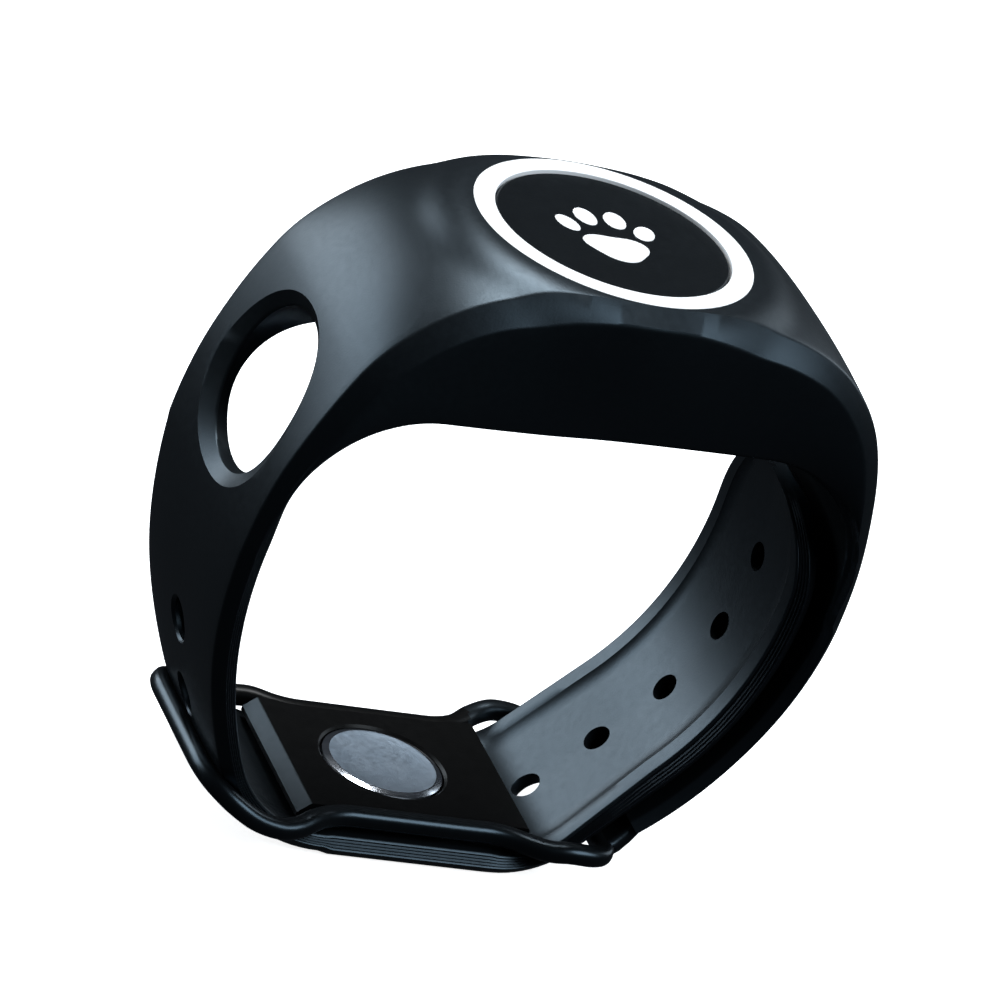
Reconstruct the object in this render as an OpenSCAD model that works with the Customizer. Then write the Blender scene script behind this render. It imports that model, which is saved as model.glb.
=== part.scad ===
// Wristband clicker trainer: a silicone band with a press button on its head and a studded clasp.
// Millimetres. X runs along the head, Y along the wrist, Z is the button's axis.
// The origin is on the ground, under the middle of the band, which stands on its lowest strap run.

/* [Band] */
// Outer width of the closed band
band_w = 59; // [58:0.5:60]
// Height from the ground to the top of the head
band_h = 60.9; // [60.5:0.1:61.5]
// Width of the straps
strap_w = 20.8; // [20.4:0.1:21]
// Width of the band at its sides, where the straps leave the head
side_w = 24.6; // [24:0.2:25]
// Thickness of the long strap
strap_t = 2.3; // [2.1:0.1:2.3]
// Thickness of the short strap
short_t = 1.8; // [1.6:0.1:1.9]
// Bevel along the outer edges of the straps
strap_bevel = 0.9; // [0.5:0.1:0.9]
// Distance between sizing holes along the strap
hole_pitch = 7.9; // [7.8:0.1:8]
// Diameter of a sizing hole
hole_d = 2.7; // [2.5:0.1:2.8]
// Diameter of the step around a sizing hole on the outer face
hole_step_d = 4; // [3.9:0.1:4.4]

/* [Head] */
// Width of the head at its widest
head_w = 30; // [29.5:0.5:31]
// Width of the head's top face, inside the bevel
head_top_w = 27; // [26.6:0.1:27.5]
// Width of the head on the wrist side
head_low_w = 25.6; // [25.4:0.1:26.5]
// Thickness of the head
head_t = 14.2; // [14:0.1:14.5]
// Width of the oval opening beside the head
oval_w = 13; // [12:0.5:14]
// Length of the oval opening
oval_l = 16; // [15:0.5:17]

/* [Button] */
// Outer diameter of the white ring
ring_d = 26; // [25.8:0.1:26]
// Diameter of the button's face
button_d = 21.8; // [21.6:0.1:21.8]
// How far the button travels
button_travel = 1; // [0.8:0.1:1]
// Outer diameter of the capsule that holds the clicker
capsule_d = 25; // [24.8:0.1:25]

/* [Clasp] */
// Width of the clasp's centre panel
panel_w = 19.4; // [19:0.1:20]
// Thickness of the clasp
clasp_t = 1.7; // [1.5:0.1:1.7]
// Width of the clasp at its two loops
loop_w = 25.4; // [25:0.1:26]
// Diameter of the stud's steel disc
stud_d = 11.6; // [11:0.1:12]

/* [Hidden] */
$fn = 96;

// Side profile of the band. Each arc is tangent to the next one.
half_w = band_w / 2;
side_z = 31.2;             // height at which both sides of the band stand upright
side_r = 47;               // radius of the head's sloping ends
head_flat = 8.8;           // half length of the flat on top of the head
head_rise = band_h - side_z;
head_r = ((side_r + head_rise) - pow(head_flat + side_r - half_w, 2) / (side_r - head_rise)) / 2;
head_turn = atan2(head_rise - head_r, head_flat + side_r - half_w);
head_join = side_z + side_r * sin(head_turn);  // height where the top's arcs meet the sloping ends
inner_r = 11.5;            // radius inside the band, between the head and a strap

left_r = 50;               // outer radius of the left strap
left_turn = 29;
left_c = [left_r - half_w, side_z];
bend_r = (side_z - left_r * sin(left_turn)) / (1 - sin(left_turn));
bend_c = [left_c[0] - (left_r - bend_r) * cos(left_turn), bend_r];
turn_x = 5.9;              // where the strap starts to turn up again
turn_r = 7.5 + strap_t;    // outer radius of that turn
tail_slope = 50;
turn_c = [turn_x, turn_r];
tail_r = 29;               // inner radius of the free tail
slope_start = [turn_x + (turn_r - strap_t) * sin(tail_slope), turn_r - (turn_r - strap_t) * cos(tail_slope)];
slope_l = (side_z - tail_r * cos(tail_slope) - slope_start[1]) / sin(tail_slope);
slope_end = slope_start + slope_l * [cos(tail_slope), sin(tail_slope)];
tail_c = slope_end + tail_r * [-sin(tail_slope), cos(tail_slope)];
tail_tip = 17.5;           // angle at which the tail ends
tip_r = 14.5;              // radius of the tail's rounded end
short_r = half_w - tail_c[0];
short_turn = 48;
overlap = 0.05;            // how far joined pieces of one solid reach into each other
reach = 60;                // longer than anything it cuts

// Clasp and stud
panel_top = band_h - 56.15;
panel_z = panel_top - clasp_t;
panel_x0 = -13.1;
panel_x1 = 8.5;
clasp_x0 = -24.7;
clasp_x1 = 16.6;
slot_w = loop_w - 3;
stud_x = -3.4;
stud_sink = 1;

// Heights in the head, measured down from its top
ring_h = 1.6;
flange_h = 0.8;
web_top = 5;
web_bottom = 6;
floor_top = 12;
floor_bottom = 13.2;
leaf_top = 8.15;
dish_depth = 0.6;          // depth of the button's dish at its middle
dish_r = 160;
paw_depth = 1;             // depth of the inlaid mark's underside
tip_depth = 7.4;           // depth of the plunger's end
leaf_t = 0.3;
leaf_pivot = 5.5;
leaf_w = 7;
button_r = button_d / 2;
flange_r = button_r + 0.45;
guide_r = flange_r + 0.2;
plunger_r = 2.6;
capsule_r = capsule_d / 2;
capsule_wall = 0.8;
sound_slot = [8, 1.2];
screw_ring = [5.8, 5.8];
screw_r = 0.75;

// Puts a solid drawn from the top of the head downwards at its height
module from_top(depth) translate([0, 0, band_h - depth]) children();

// Turns a drawing of X and Z into a solid of width w along Y
module across(w) rotate([90, 0, 0]) linear_extrude(w, center = true) children();

// Section of a strap of width w: r is the radius of its inner face, t its thickness
module strap_section(r, t, w = strap_w) {
    h = w / 2;
    soft = 0.3;
    polygon([[r, soft - h], [r + soft, -h], [r + t - strap_bevel, -h], [r + t, strap_bevel - h],
             [r + t, h - strap_bevel], [r + t - strap_bevel, h], [r + soft, h], [r, h - soft]]);
}

// Strap bent around centre c, from angle a to angle b, where 0 points along X and 90 up
module strap_arc(c, r, t, a, b, w = strap_w)
    translate([c[0], 0, c[1]]) rotate([90, 0, 0]) rotate([0, 0, a])
        rotate_extrude(angle = b - a) strap_section(r, t, w);

// Keeps a wide strap's children within the band's taper, from side_w at its sides to strap_w near the clasp
module tapered() {
    low_z = 9;
    intersection() {
        children();
        rotate([90, 0, 90]) linear_extrude(2 * reach, center = true)
            polygon([[-strap_w / 2, 0], [-strap_w / 2, low_z], [-side_w / 2, side_z], [-side_w / 2, side_z + 1],
                     [side_w / 2, side_z + 1], [side_w / 2, side_z], [strap_w / 2, low_z], [strap_w / 2, 0]]);
    }
}

// Straight strap of length l from point p on its inner face, climbing at angle a
module strap_line(p, t, l, a)
    translate([p[0], 0, p[1]]) rotate([0, -a, 0]) translate([-overlap, 0, 0])
        rotate([0, 90, 0]) linear_extrude(l + 2 * overlap) strap_section(0, t);

// Place of the point at length s along the strap from the stud, as [x, z, angle of the outward normal]
function on_arc(c, r, a) = [c[0] + r * cos(a), c[1] + r * sin(a), a];
function degrees(s, r) = s / r * 180 / PI;
mid = strap_t / 2;
flat_right = turn_x - stud_x;
turn_l = (turn_r - mid) * tail_slope * PI / 180;
flat_left = stud_x - bend_c[0];
bend_l = (bend_r - mid) * (90 - left_turn) * PI / 180;
function right_place(s) =
    s < flat_right ? [stud_x + s, strap_t, 270] :
    s < flat_right + turn_l ? on_arc(turn_c, turn_r - strap_t, 270 + degrees(s - flat_right, turn_r - mid)) :
    s < flat_right + turn_l + slope_l ?
        [slope_start[0] + (s - flat_right - turn_l) * cos(tail_slope),
         slope_start[1] + (s - flat_right - turn_l) * sin(tail_slope), 270 + tail_slope] :
    on_arc(tail_c, tail_r, 270 + tail_slope + degrees(s - flat_right - turn_l - slope_l, tail_r + mid));
function left_place(s) =
    s < flat_left ? [stud_x - s, strap_t, 270] :
    s < flat_left + bend_l ? on_arc(bend_c, bend_r - strap_t, 270 - degrees(s - flat_left, bend_r - mid)) :
    on_arc(left_c, left_r - strap_t, 180 + left_turn - degrees(s - flat_left - bend_l, left_r - mid));
function strap_place(s) = s < 0 ? left_place(-s) : right_place(s);

// Stepped sizing hole number n, counted from the stud towards the tail
module sizing_hole(n) {
    p = strap_place(n * hole_pitch);
    step_h = 0.9;
    translate([p[0], 0, p[1]]) rotate([0, 90 - p[2], 0]) {
        translate([0, 0, -1]) cylinder(h = strap_t + 2, d = hole_d);
        translate([0, 0, strap_t - step_h]) cylinder(h = step_h + 1, d = hole_step_d);
    }
}

// ---- Band ----

// Outline of the head seen from the side, drawn in X and Z
module head_outline() {
    difference() {
        union() {
            for (side = [-1, 1]) {
                intersection() {
                    translate([side * (half_w - side_r), side_z]) circle(side_r, $fn = 180);
                    translate([side > 0 ? 0 : -half_w, side_z]) square([half_w, head_join - side_z]);
                }
                intersection() {
                    translate([side * head_flat, band_h - head_r]) circle(head_r, $fn = 120);
                    translate([side > 0 ? 0 : -half_w, head_join - overlap])
                        square([half_w, band_h - head_join + overlap]);
                }
            }
            translate([-head_flat - overlap, side_z]) square([2 * head_flat + 2 * overlap, head_rise]);
        }
        head_cavity();
    }
}

// The space under the head, drawn in X and Z
module head_cavity() {
    left = -half_w + strap_t;
    right = half_w - short_t;
    top = band_h - head_t;
    translate([left, side_z - 1]) square([right - left, top - inner_r - side_z + 1]);
    translate([left + inner_r, side_z - 1]) square([right - left - 2 * inner_r, top - side_z + 1]);
    for (x = [left + inner_r, right - inner_r]) translate([x, top - inner_r]) circle(inner_r);
}

// Outline of the head seen along X: a narrow top, a bevel, and sides that draw in towards the wrist
module head_end_outline() {
    bevel_drop = 2.3;
    low = band_h - head_t + 1;
    polygon([[-head_top_w / 2, band_h + 1], [-head_top_w / 2, band_h], [-head_w / 2, band_h - bevel_drop],
             [-head_low_w / 2, low], [-head_low_w / 2 + 1, low - 1], [-head_low_w / 2 + 1, side_z - 1],
             [head_low_w / 2 - 1, side_z - 1], [head_low_w / 2 - 1, low - 1], [head_low_w / 2, low],
             [head_w / 2, band_h - bevel_drop], [head_top_w / 2, band_h], [head_top_w / 2, band_h + 1]]);
}

// Outline of the head seen from above: it swells from the band's side width to its own
function swell(x) = side_w / 2 + (head_w - side_w) / 4 * (1 + cos(180 * min(1, abs(x) / half_w)));
module head_plan() {
    steps = 12;
    xs = [for (i = [-steps : steps]) i * half_w / steps];
    polygon([for (x = xs) [x, swell(x)], for (i = [len(xs) - 1 : -1 : 0]) [xs[i], -swell(xs[i])]]);
}

// Oval opening through the band beside the head, square to its outer face
module oval_opening() {
    centre = [-28.4, 41.2];
    tilt = 13;
    translate([centre[0], 0, centre[1]]) rotate([0, 90 + tilt, 0]) {
        linear_extrude(20, center = true) {
            for (side = [-1, 1]) translate([side * (oval_l - oval_w) / 2, 0]) circle(oval_w / 2);
            square([oval_l - oval_w, oval_w], center = true);
        }
    }
}

module band_head() color([0.13, 0.15, 0.17]) difference() {
    intersection() {
        across(reach) head_outline();
        rotate([90, 0, 90]) linear_extrude(2 * reach, center = true) head_end_outline();
        linear_extrude(2 * reach) head_plan();
    }
    oval_opening();
    from_top(floor_bottom) cylinder(h = floor_bottom - ring_h, r = capsule_r);
    from_top(ring_h) cylinder(h = ring_h + 1, d = ring_d);
    from_top(head_t + 1) cylinder(h = 3, r = 10);
}

module left_strap() color([0.13, 0.15, 0.17]) difference() {
    tapered() strap_arc(left_c, left_r - strap_t, strap_t, 180, 180 + left_turn, side_w);
    for (n = [-4 : -3]) sizing_hole(n);
}

module underpass_strap() color([0.13, 0.15, 0.17]) difference() {
    union() {
        strap_arc(bend_c, bend_r - strap_t, strap_t, 180 + left_turn, 270);
        strap_line([bend_c[0], strap_t], strap_t, turn_x - bend_c[0], 0);
        strap_arc(turn_c, turn_r - strap_t, strap_t, 270, 270 + tail_slope);
    }
    for (n = [-2 : 2]) sizing_hole(n);
}

// The free end of the long strap, which tucks inside the short strap
module strap_tail() color([0.13, 0.15, 0.17]) difference() {
    gap = 0.12;
    tip_start = -3;
    union() {
        strap_line(slope_start + (gap + overlap) * [cos(tail_slope), sin(tail_slope)], strap_t,
                   slope_l - gap - overlap, tail_slope);
        strap_arc(tail_c, tail_r, strap_t, tail_slope - 90, tip_start);
        intersection() {
            strap_arc(tail_c, tail_r, strap_t, tip_start - 0.1, tail_tip);
            translate([tail_c[0], 0, tail_c[1]]) rotate([0, 90 - tail_tip + degrees(tip_r, tail_r), 0])
                cylinder(h = reach, r = tip_r);
        }
    }
    for (n = [3 : 6]) sizing_hole(n);
}

module short_strap() color([0.13, 0.15, 0.17]) difference() {
    tapered() strap_arc(tail_c, short_r - short_t, short_t, -short_turn, 0, side_w);
    clasp_tang();
}

// ---- Clasp ----

// Side view of the clasp, drawn in X and Z: the left loop dips and then rises, and the right loop is humped
module clasp_side() {
    z = panel_z;
    t = clasp_t;
    polygon([[clasp_x0, z + 2.6], [-24.2, z + 3.6], [-23.3, z + 3.65], [-21.3, z + 2.7], [-19, z + 1.8],
             [-16.4, z + 1.3], [-14.9, z + 1.3], [panel_x0, z + t], [panel_x1 - 0.5, z + t], [9.5, z + 2.1],
             [11.5, z + 2.4], [13.8, z + 2.3], [15.1, z + 2], [15.8, z + 2.1], [clasp_x1, z + 1.8],
             [clasp_x1, z + 0.9], [15.6, z + 0.6], [13.6, z + 0.8], [11.5, z + 0.8], [9.5, z + 0.4],
             [panel_x1 - 0.5, z], [-11, z], [-14, z - 0.3], [-16.4, z - 0.4], [-19, z + 0.1], [-21.3, z + 1.05],
             [-23.6, z + 2.1]]);
}

// Plan of the clasp without its slots
module clasp_plan() {
    corner = 3.5;
    for (side = [-1, 1]) mirror([0, side < 0 ? 1 : 0]) {
        polygon([[clasp_x0 + corner, 0], [clasp_x0 + corner, loop_w / 2], [-16.2, loop_w / 2],
                 [-15, loop_w / 2 - 0.4], [-12, panel_w / 2 + 0.4], [-10.6, panel_w / 2],
                 [6.2, panel_w / 2], [7.6, panel_w / 2 + 0.4], [9.8, loop_w / 2 - 0.4],
                 [11, loop_w / 2], [clasp_x1 - corner, loop_w / 2], [clasp_x1 - corner, 0]]);
        translate([clasp_x0 + corner, loop_w / 2 - corner]) circle(corner);
        translate([clasp_x1 - corner, loop_w / 2 - corner]) circle(corner);
    }
    translate([clasp_x0, corner - loop_w / 2]) square([corner, loop_w - 2 * corner]);
    translate([clasp_x1 - corner, corner - loop_w / 2]) square([corner, loop_w - 2 * corner]);
}

// A slot across the clasp from x0 to x1, with rounded corners
module clasp_slot(x0, x1) {
    r = 1.6;
    translate([x0, r - slot_w / 2]) square([x1 - x0, slot_w - 2 * r]);
    translate([x0 + r, -slot_w / 2]) square([x1 - x0 - 2 * r, slot_w]);
    for (x = [x0 + r, x1 - r], y = [r - slot_w / 2, slot_w / 2 - r]) translate([x, y]) circle(r);
}

// Tongue that runs from the clasp's right bar into the end of the short strap
module clasp_tang() {
    inset = 0.45;
    tang_t = 0.9;
    tang_w = 16;
    translate([tail_c[0], 0, tail_c[1]]) rotate([90, 0, 0]) rotate([0, 0, -short_turn - 5])
        rotate_extrude(angle = 11)
            translate([short_r - inset - tang_t, -tang_w / 2]) square([tang_t, tang_w]);
}

module clasp_plate() color([0.1, 0.11, 0.12]) difference() {
    union() {
        intersection() {
            across(reach) clasp_side();
            linear_extrude(reach) clasp_plan();
        }
        clasp_tang();
    }
    linear_extrude(reach) clasp_slot(clasp_x0 + 1.6, panel_x0 - 0.9);
    linear_extrude(reach) clasp_slot(panel_x1, clasp_x1 - 1.5);
    translate([stud_x, 0, panel_top - stud_sink]) cylinder(h = 2, d = stud_d);
    translate([stud_x, 0, 0]) cylinder(h = reach, d = hole_d - 0.3);
}

module stud_cap() color([0.7, 0.72, 0.75])
    translate([stud_x, 0, panel_top - stud_sink]) {
        cylinder(h = stud_sink - 0.3, d = stud_d);
        translate([0, 0, stud_sink - 0.3]) cylinder(h = 0.25, d1 = stud_d, d2 = stud_d - 0.5);
    }

module stud_post() color([0.65, 0.67, 0.7]) {
    head_h = 0.6;
    translate([stud_x, 0, 0.2]) {
        cylinder(h = head_h, d1 = hole_step_d - 1, d2 = hole_step_d - 0.4);
        translate([0, 0, head_h]) cylinder(h = panel_top - stud_sink - head_h - 0.2, d = hole_d - 0.3);
    }
}

module stud_washer() color([0.6, 0.62, 0.65])
    translate([stud_x, 0, panel_z - 0.4]) difference() {
        cylinder(h = 0.4, d = 6);
        translate([0, 0, -1]) cylinder(h = 3, d = hole_d - 0.3);
    }

// ---- Button and clicker ----

module ring_bezel() color("white") from_top(ring_h) difference() {
    cylinder(h = ring_h, d = ring_d);
    translate([0, 0, -1]) cylinder(h = ring_h + 2, r = button_r + 0.1);
}

// Dished cap with a flange that the ring retains and a plunger that reaches the click leaf
module button_cap() color([0.05, 0.05, 0.06]) difference() {
    rim = 0.25;
    union() {
        from_top(ring_h + 0.1) cylinder(h = ring_h + 0.1 - rim, r = button_r);
        from_top(ring_h + 0.1 + flange_h) cylinder(h = flange_h, r = flange_r);
        from_top(3.2) cylinder(h = 1, r = 4);
        from_top(tip_depth) cylinder(h = tip_depth - 2, r = plunger_r);
    }
    translate([0, 0, band_h - dish_depth + dish_r]) sphere(dish_r, $fn = 180);
    from_top(tip_depth + 0.5) cylinder(h = 1.4, r = 1);
    paw_prism(1);
}

// Generic paw print of height h: one pad made of three rounds, and four toes
module paw_prism(h) from_top(paw_depth) {
    pad_y = -1.6;
    for (side = [-1, 1]) {
        translate([side * 3.8, 1.9, 0]) cylinder(h = h, r = 1.15);
        translate([side * 1.5, 3.8, 0]) cylinder(h = h, r = 1.3);
        translate([side * 1.7, pad_y - 1.1, 0]) cylinder(h = h, r = 1.5);
    }
    translate([0, pad_y, 0]) cylinder(h = h, r = 2.6);
}

module paw_mark() color("white") paw_prism(paw_depth - dish_depth);

module plunger_tip() color([0.85, 0.85, 0.8]) from_top(tip_depth + 0.6) {
    cylinder(h = 0.6 + overlap, r1 = 0.7, r2 = 1);
    translate([0, 0, 0.6]) cylinder(h = 0.9, r = 1);
}

// Upper half of the capsule: it guides the button and carries the screw posts
module capsule_cover() color([0.2, 0.2, 0.22]) {
    post_r = 1.7;
    post_end = 9;
    difference() {
        from_top(web_bottom) cylinder(h = web_bottom - ring_h, r = capsule_r);
        from_top(web_top) cylinder(h = web_top, r = guide_r);
        from_top(web_bottom + 1) cylinder(h = 3, r = plunger_r + 0.05);
    }
    screw_places() difference() {
        from_top(post_end) cylinder(h = post_end - web_bottom + overlap, r = post_r);
        from_top(post_end + 1) cylinder(h = 2.6, r = screw_r - 0.02);
    }
}

module screw_places() for (x = [-1, 1], y = [-1, 1]) translate([x * screw_ring[0], y * screw_ring[1], 0]) children();

// Lower half of the capsule: a cup whose floor shows on the wrist side and lets the click out
module capsule_base() color([0.2, 0.2, 0.22]) difference() {
    union() {
        difference() {
            from_top(floor_bottom) cylinder(h = floor_bottom - web_bottom, r = capsule_r);
            from_top(floor_top) cylinder(h = floor_top, r = capsule_r - capsule_wall);
        }
        from_top(head_t - 0.1) cylinder(h = head_t - floor_bottom, r = 9.95);
        screw_places() from_top(floor_top + overlap) cylinder(h = floor_top - 9 + overlap, r = 1.7);
    }
    from_top(web_bottom + 0.4) cylinder(h = 1, r = capsule_r - 0.4);
    screw_places() {
        from_top(head_t + 1) cylinder(h = 8, r = screw_r + 0.1);
        from_top(head_t + 1) cylinder(h = 2, r = 1.5);
    }
    for (y = [-3, 0, 3]) from_top(head_t) translate([-4.2, y, 1])
        cube([sound_slot[0], sound_slot[1], 6], center = true);
}

module cover_gasket() color([0.35, 0.1, 0.08]) from_top(web_bottom + 0.4) difference() {
    cylinder(h = 0.4, r = capsule_r - 0.4);
    translate([0, 0, -1]) cylinder(h = 3, r = capsule_r - 0.4 - 0.6);
}

module click_leaf() color([0.75, 0.77, 0.8]) from_top(leaf_top + leaf_t) difference() {
    translate([-7.5, -leaf_w / 2, 0]) cube([7.5 + leaf_pivot - 0.1, leaf_w, leaf_t]);
    translate([-6, 0, -1]) cylinder(h = 2, r = 0.8);
}

module leaf_root() color([0.75, 0.77, 0.8]) from_top(leaf_top + leaf_t) difference() {
    translate([leaf_pivot, -leaf_w / 2, 0]) cube([4.6, leaf_w, leaf_t]);
    for (y = [-2, 2]) translate([8, y, -1]) cylinder(h = 2, r = 0.7);
}

module leaf_block() color([0.78, 0.62, 0.3]) from_top(floor_top) difference() {
    translate([leaf_pivot + 0.4, -leaf_w / 2, 0]) cube([4.2, leaf_w, floor_top - leaf_top - leaf_t]);
    for (y = [-2, 2]) translate([8, y, -1]) cylinder(h = 9, r = 0.7);
}

module leaf_rivets() color([0.8, 0.65, 0.35]) for (y = [-2, 2]) {
    from_top(floor_top) translate([8, y, 0]) cylinder(h = floor_top - leaf_top, r = 0.7);
    from_top(leaf_top) translate([8, y, 0]) cylinder(h = 0.5, r1 = 1.2, r2 = 0.8);
}

module stop_pad() color([0.15, 0.15, 0.15]) from_top(floor_top)
    translate([-8.6, -2.5, 0]) cube([2.6, 5, 0.7]);

module capsule_screws() color([0.6, 0.62, 0.65]) screw_places() {
    from_top(head_t - 1.1) cylinder(h = 4.6, r = screw_r - 0.02);
    from_top(head_t - 0.2) cylinder(h = 0.95, r1 = 1.4, r2 = screw_r - 0.02);
}

band_head();
left_strap();
underpass_strap();
strap_tail();
short_strap();
clasp_plate();
stud_cap();
stud_post();
stud_washer();
ring_bezel();
button_cap();
paw_mark();
plunger_tip();
capsule_cover();
capsule_base();
cover_gasket();
click_leaf();
leaf_root();
leaf_block();
leaf_rivets();
stop_pad();
capsule_screws();
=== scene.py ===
"""Wristband clicker trainer: silicone band, dished press button with a white ring, and a studded clasp.

Lengths below are millimetres in the CAD frame (X along the head, Y along the wrist, Z up) and are
turned into metres when a mesh is made.
"""
import math

import bmesh
import bpy
from mathutils import Matrix, Vector


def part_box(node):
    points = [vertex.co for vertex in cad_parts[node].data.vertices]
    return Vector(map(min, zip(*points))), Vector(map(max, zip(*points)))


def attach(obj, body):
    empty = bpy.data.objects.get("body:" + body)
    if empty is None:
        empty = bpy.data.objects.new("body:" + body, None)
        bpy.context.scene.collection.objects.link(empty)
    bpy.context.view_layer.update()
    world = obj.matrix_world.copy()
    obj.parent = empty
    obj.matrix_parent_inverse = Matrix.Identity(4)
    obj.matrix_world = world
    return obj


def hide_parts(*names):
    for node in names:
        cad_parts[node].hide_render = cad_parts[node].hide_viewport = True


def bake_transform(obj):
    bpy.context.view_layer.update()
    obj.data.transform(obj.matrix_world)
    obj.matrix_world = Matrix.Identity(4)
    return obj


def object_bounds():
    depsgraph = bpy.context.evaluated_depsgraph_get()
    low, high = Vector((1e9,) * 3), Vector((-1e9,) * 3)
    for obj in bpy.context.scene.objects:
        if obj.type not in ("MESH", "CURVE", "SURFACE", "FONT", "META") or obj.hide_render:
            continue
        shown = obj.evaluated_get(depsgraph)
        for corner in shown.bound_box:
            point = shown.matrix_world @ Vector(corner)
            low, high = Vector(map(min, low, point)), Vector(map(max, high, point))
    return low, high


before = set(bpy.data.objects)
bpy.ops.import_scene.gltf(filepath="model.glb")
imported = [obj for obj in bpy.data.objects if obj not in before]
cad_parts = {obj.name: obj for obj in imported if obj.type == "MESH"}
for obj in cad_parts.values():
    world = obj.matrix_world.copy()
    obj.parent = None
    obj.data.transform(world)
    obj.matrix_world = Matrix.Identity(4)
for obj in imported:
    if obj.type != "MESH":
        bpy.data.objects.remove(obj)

cad_low, cad_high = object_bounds()
MM = 0.001


def node_box(name):
    """Lowest and highest corner of a CAD node, in millimetres."""
    low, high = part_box(name)
    return low / MM, high / MM


def smooth(low, high, value):
    """0 at low, 1 at high, with a soft start and end."""
    t = min(1.0, max(0.0, (value - low) / (high - low)))
    return t * t * (3 - 2 * t)


def keyed(keys, value):
    """Value between given (position, value) keys, eased so that the slope has no jump."""
    if value <= keys[0][0]:
        return keys[0][1]
    for i in range(len(keys) - 1):
        x0, y0 = keys[i]
        x1, y1 = keys[i + 1]
        if value <= x1:
            before = keys[max(0, i - 1)]
            after = keys[min(len(keys) - 1, i + 2)]
            m0 = (y1 - before[1]) / (x1 - before[0])
            m1 = (after[1] - y0) / (after[0] - x0)
            h = x1 - x0
            t = (value - x0) / h
            return ((2 * t ** 3 - 3 * t ** 2 + 1) * y0 + (t ** 3 - 2 * t ** 2 + t) * h * m0
                    + (3 * t ** 2 - 2 * t ** 3) * y1 + (t ** 3 - t ** 2) * h * m1)
    return keys[-1][1]


# ---------------------------------------------------------------- materials

PALER = 1.25            # how much lighter a colour gets where no second colour is given
FINEST_GRAIN = 0.0002   # metres
RIPPLE_DEPTH = 0.00005
GRAIN_DEPTH = 0.00002


def material(name, colour, rough, *, colour_to=None, tint_size=0.02, specular=0.5, metallic=0.0,
             grain=0.0, grain_size=0.0004, ripple=0.0, ripple_size=0.006, rough_range=0.06,
             brushed=False, spec_tint=(1.0, 1.0, 1.0)):
    """Principled material whose colour, roughness and surface come from noise at its own scale."""
    made = bpy.data.materials.new(name)
    made.use_nodes = True
    nodes, links = made.node_tree.nodes, made.node_tree.links
    shader = nodes["Principled BSDF"]
    shader.inputs["Metallic"].default_value = metallic
    shader.inputs["Specular IOR Level"].default_value = specular
    shader.inputs["Specular Tint"].default_value = (*spec_tint, 1)
    place = nodes.new("ShaderNodeTexCoord")

    def noise(size, detail, stretch=(1, 1, 1)):
        mapping = nodes.new("ShaderNodeMapping")
        mapping.inputs["Scale"].default_value = stretch
        texture = nodes.new("ShaderNodeTexNoise")
        texture.inputs["Scale"].default_value = 1 / size
        texture.inputs["Detail"].default_value = detail
        links.new(place.outputs["Object"], mapping.inputs["Vector"])
        links.new(mapping.outputs["Vector"], texture.inputs["Vector"])
        return texture.outputs["Fac"]

    tint = nodes.new("ShaderNodeValToRGB")
    tint.color_ramp.elements[0].position = 0.3
    tint.color_ramp.elements[1].position = 0.7
    tint.color_ramp.elements[0].color = (*colour, 1)
    tint.color_ramp.elements[1].color = (*(colour_to or [c * PALER for c in colour]), 1)
    links.new(noise(tint_size, 4), tint.inputs["Fac"])
    links.new(tint.outputs["Color"], shader.inputs["Base Color"])

    spread = nodes.new("ShaderNodeMapRange")
    spread.inputs["To Min"].default_value = rough - rough_range
    spread.inputs["To Max"].default_value = rough + rough_range
    stretch = (0.05, 1, 1) if brushed else (1, 1, 1)
    links.new(noise(max(grain_size, FINEST_GRAIN) * 3, 5, stretch), spread.inputs["Value"])
    links.new(spread.outputs["Result"], shader.inputs["Roughness"])

    normal = None
    layers = ((ripple, ripple_size, 2, RIPPLE_DEPTH), (grain, grain_size, 3, GRAIN_DEPTH))
    for strength, size, detail, depth in layers:
        if not strength:
            continue
        bump = nodes.new("ShaderNodeBump")
        bump.inputs["Strength"].default_value = strength
        bump.inputs["Distance"].default_value = depth
        links.new(noise(size, detail, stretch), bump.inputs["Height"])
        if normal:
            links.new(normal, bump.inputs["Normal"])
        normal = bump.outputs["Normal"]
    if normal:
        links.new(normal, shader.inputs["Normal"])
    return made


COOL_GLOSS = (0.62, 0.83, 1.0)
SILICONE = material("silicone_black", (0.0028, 0.0034, 0.0041), 0.37, tint_size=0.012, grain=0.30,
                    grain_size=0.00022, ripple=0.08, ripple_size=0.009, specular=0.48, spec_tint=COOL_GLOSS)
PLATE = material("clasp_black_nylon", (0.0022, 0.0024, 0.0027), 0.30, tint_size=0.004, grain=0.25,
                 grain_size=0.0003, specular=0.5, spec_tint=COOL_GLOSS)
PLATE_EDGE = material("clasp_edge_satin", (0.0024, 0.0028, 0.0032), 0.5, tint_size=0.004, grain=0.25,
                      grain_size=0.0003, specular=0.4, spec_tint=COOL_GLOSS)
# Grained panel finish, also laid on the far side of the clasp's rim as painted shade
PANEL_AND_RIM_SHADE = material("clasp_panel_grained_and_rim_shade", (0.0016, 0.0016, 0.0016), 0.34, tint_size=0.003, grain=0.35,
                 grain_size=0.00025, specular=0.12)
BUTTON = material("button_black_textured", (0.0030, 0.0036, 0.0042), 0.34, tint_size=0.005, grain=0.35,
                  grain_size=0.00028, specular=0.2, spec_tint=COOL_GLOSS)
WHITE = material("ring_white", (0.90, 0.90, 0.90), 0.3, colour_to=(0.94, 0.94, 0.94), tint_size=0.01,
                 grain=0.05, specular=0.4)
MARK = material("mark_white", (0.88, 0.88, 0.88), 0.34, colour_to=(0.93, 0.93, 0.93), tint_size=0.004,
                grain=0.1, specular=0.4)
STEEL = material("stud_blasted_steel", (0.34, 0.42, 0.51), 0.42, colour_to=(0.42, 0.50, 0.59),
                 tint_size=0.003, metallic=1.0, grain=0.8, grain_size=0.00016, rough_range=0.1)
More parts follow.
